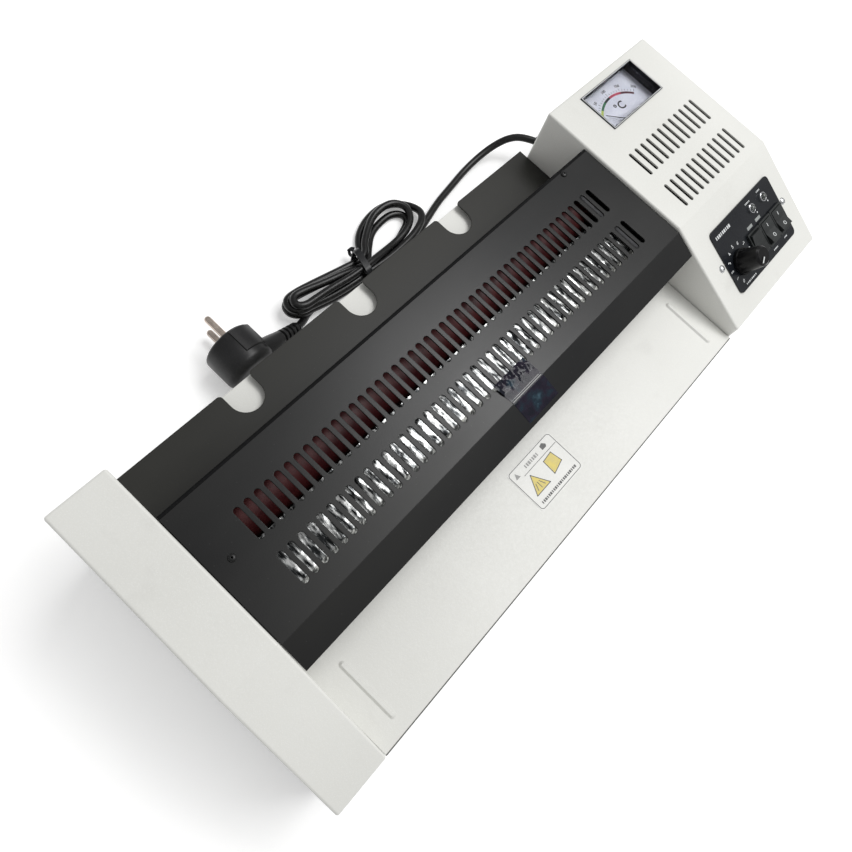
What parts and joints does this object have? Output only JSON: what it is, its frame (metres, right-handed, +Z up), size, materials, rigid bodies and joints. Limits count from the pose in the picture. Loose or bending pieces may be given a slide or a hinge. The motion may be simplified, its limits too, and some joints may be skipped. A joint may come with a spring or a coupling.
{
  "type": "pouch laminator",
  "caption": "Desktop pouch laminator: white end covers, black slotted top, feed and exit trays, geared roller pairs, sloped control panel, dial meter and a tied mains lead",
  "frame": {"origin": "on the floor under the middle of the machine, measured without its mains lead", "axes": "X along the rollers with the controls at +X, Y from the feed side to the exit side, Z up"},
  "size_m": [0.5, 0.2585, 0.1088],
  "materials": {
    "white_casing": "warm white powder coat with a fine orange peel",
    "black_casing": "satin black stove enamel",
    "dark_tray": "dark brown-grey satin enamel",
    "dark_steel": "black phosphated sheet steel",
    "spring_steel": "bright spring wire",
    "roller_rubber": "dark red silicone rubber",
    "roller_core": "turned aluminium",
    "shaft_steel": "turned steel",
    "gear_plastic": "natural acetal",
    "bearing_plastic": "brown heat-resistant plastic",
    "bright_reflector": "bright mottled aluminium sheet",
    "heater_glass": "quartz tube",
    "ceramic": "unglazed ceramic",
    "motor_metal": "zinc-plated can",
    "circuit_board": "green solder mask",
    "board_components": "moulded component cases",
    "panel_black": "glossy black faceplate",
    "switch_black": "semi-gloss black plastic",
    "knob_black": "satin black plastic with a pale pointer",
    "lamp_lens": "smoky translucent lamp lens in a bright ring",
    "screw_metal": "nickel-plated screw",
    "meter_black": "black meter case",
    "dial_print": "pale printed dial with coloured bands",
    "clear_window": "clear acrylic window",
    "needle_paint": "black painted pointer",
    "label_print": "printed paper label under film",
    "foot_rubber": "moulded black rubber",
    "cord_jacket": "black flexible PVC jacket",
    "tie_plastic": "glossy black twist tie",
    "plug_plastic": "moulded black plug",
    "plug_metal": "nickel-plated pins"
  },
  "bodies": {
    "root": {"left_end_cover": "white_casing", "right_end_cover": "white_casing", "feed_tray": "white_casing", "rear_base_panel": "white_casing", "top_cover": "black_casing", "exit_tray": "dark_tray", "guide_plate": "dark_tray", "base_pan": "dark_steel", "left_side_frame": "dark_steel", "right_side_frame": "dark_steel", "motor_bracket": "dark_steel", "lower_bearings": "bearing_plastic", "upper_reflector": "bright_reflector", "lower_reflector": "bright_reflector", "heater_tubes": "heater_glass", "heater_holders": "ceramic", "gear_motor": "motor_metal", "thermal_cutout": "motor_metal", "control_board": "circuit_board", "board_parts": "board_components", "temperature_pot": "board_components", "control_panel": "panel_black", "switch_housings": "switch_black", "indicator_lamps": "lamp_lens", "screws": "screw_metal", "meter_housing": "meter_black", "meter_dial": "dial_print", "meter_window": "clear_window", "tray_label": "label_print", "rubber_feet": "foot_rubber", "cord_lead": "cord_jacket", "cord_hank": "cord_jacket", "cord_tail": "cord_jacket", "cord_gland": "cord_jacket", "cord_tie": "tie_plastic", "plug_body": "plug_plastic", "plug_pins": "plug_metal"},
    "upper_hot_carrier": {"upper_hot_blocks": "bearing_plastic", "hot_springs": "spring_steel"},
    "upper_pull_carrier": {"upper_pull_blocks": "bearing_plastic", "pull_springs": "spring_steel"},
    "upper_hot_roller": {"upper_hot_core": "roller_core", "upper_hot_sleeve": "roller_rubber", "upper_hot_gear": "gear_plastic"},
    "lower_hot_roller": {"lower_hot_core": "roller_core", "lower_hot_sleeve": "roller_rubber", "lower_hot_gear": "gear_plastic"},
    "upper_pull_roller": {"upper_pull_shaft": "shaft_steel", "upper_pull_sleeve": "roller_rubber", "upper_pull_gear": "gear_plastic"},
    "lower_pull_roller": {"lower_pull_shaft": "shaft_steel", "lower_pull_sleeve": "roller_rubber", "lower_pull_gear": "gear_plastic"},
    "idler_wheel": {"idler_gear": "gear_plastic"},
    "drive_pinion": {"motor_pinion": "gear_plastic"},
    "temperature_dial_knob": {"temperature_knob": "knob_black"},
    "direction_switch": {"direction_rocker": "switch_black"},
    "heat_switch": {"heat_rocker": "switch_black"},
    "power_switch": {"power_rocker": "switch_black"},
    "meter_pointer": {"meter_needle": "needle_paint"}
  },
  "joints": [
    {"name": "upper_hot_float", "type": "slide", "parent": "root", "child": "upper_hot_carrier", "axis": [0, 0, 1], "range_m": [0, 0.0012], "stiffness_N_per_m": 3000, "springref_m": -0.003, "deforming": ["hot_springs"]},
    {"name": "upper_pull_float", "type": "slide", "parent": "root", "child": "upper_pull_carrier", "axis": [0, 0, 1], "range_m": [0, 0.0012], "stiffness_N_per_m": 3000, "springref_m": -0.003, "deforming": ["pull_springs"]},
    {"name": "lower_hot_spin", "type": "hinge", "parent": "root", "child": "lower_hot_roller", "pos_m": [0.144, 0.004, 0.054], "axis": [1, 0, 0], "continuous": true},
    {"name": "upper_hot_spin", "type": "hinge", "parent": "upper_hot_carrier", "child": "upper_hot_roller", "pos_m": [0.144, 0.004, 0.082], "axis": [1, 0, 0], "continuous": true},
    {"name": "lower_pull_spin", "type": "hinge", "parent": "root", "child": "lower_pull_roller", "pos_m": [0.144, 0.037, 0.054], "axis": [1, 0, 0], "continuous": true},
    {"name": "upper_pull_spin", "type": "hinge", "parent": "upper_pull_carrier", "child": "upper_pull_roller", "pos_m": [0.144, 0.037, 0.082], "axis": [1, 0, 0], "continuous": true},
    {"name": "idler_spin", "type": "hinge", "parent": "root", "child": "idler_wheel", "pos_m": [0.144, 0.0205, 0.03885], "axis": [1, 0, 0], "continuous": true},
    {"name": "pinion_spin", "type": "hinge", "parent": "root", "child": "drive_pinion", "pos_m": [0.144, -0.01573, 0.04682], "axis": [1, 0, 0], "continuous": true},
    {"name": "temperature_turn", "type": "hinge", "parent": "root", "child": "temperature_dial_knob", "pos_m": [0.1688, -0.07144, 0.09623], "axis": [0, 0.3869, -0.9221], "range_deg": [0, 270]},
    {"name": "direction_press", "type": "hinge", "parent": "root", "child": "direction_switch", "pos_m": [0.1916, -0.06843, 0.09033], "axis": [1, 0, 0], "range_deg": [-10, 10]},
    {"name": "heat_press", "type": "hinge", "parent": "root", "child": "heat_switch", "pos_m": [0.2071, -0.06843, 0.09033], "axis": [1, 0, 0], "range_deg": [0, 20]},
    {"name": "power_press", "type": "hinge", "parent": "root", "child": "power_switch", "pos_m": [0.2226, -0.06843, 0.09033], "axis": [1, 0, 0], "range_deg": [0, 20]},
    {"name": "pointer_swing", "type": "hinge", "parent": "root", "child": "meter_pointer", "pos_m": [0.1925, 0.0502, 0.101], "axis": [0, 0, -1], "range_deg": [0, 90]}
  ],
  "couplings": [
    {"joint": "upper_hot_spin", "follows": "lower_hot_spin", "ratio": -1},
    {"joint": "lower_pull_spin", "follows": "lower_hot_spin", "ratio": 1},
    {"joint": "upper_pull_spin", "follows": "lower_hot_spin", "ratio": -1},
    {"joint": "idler_spin", "follows": "lower_hot_spin", "ratio": -1.6667},
    {"joint": "pinion_spin", "follows": "lower_hot_spin", "ratio": -2}
  ]
}
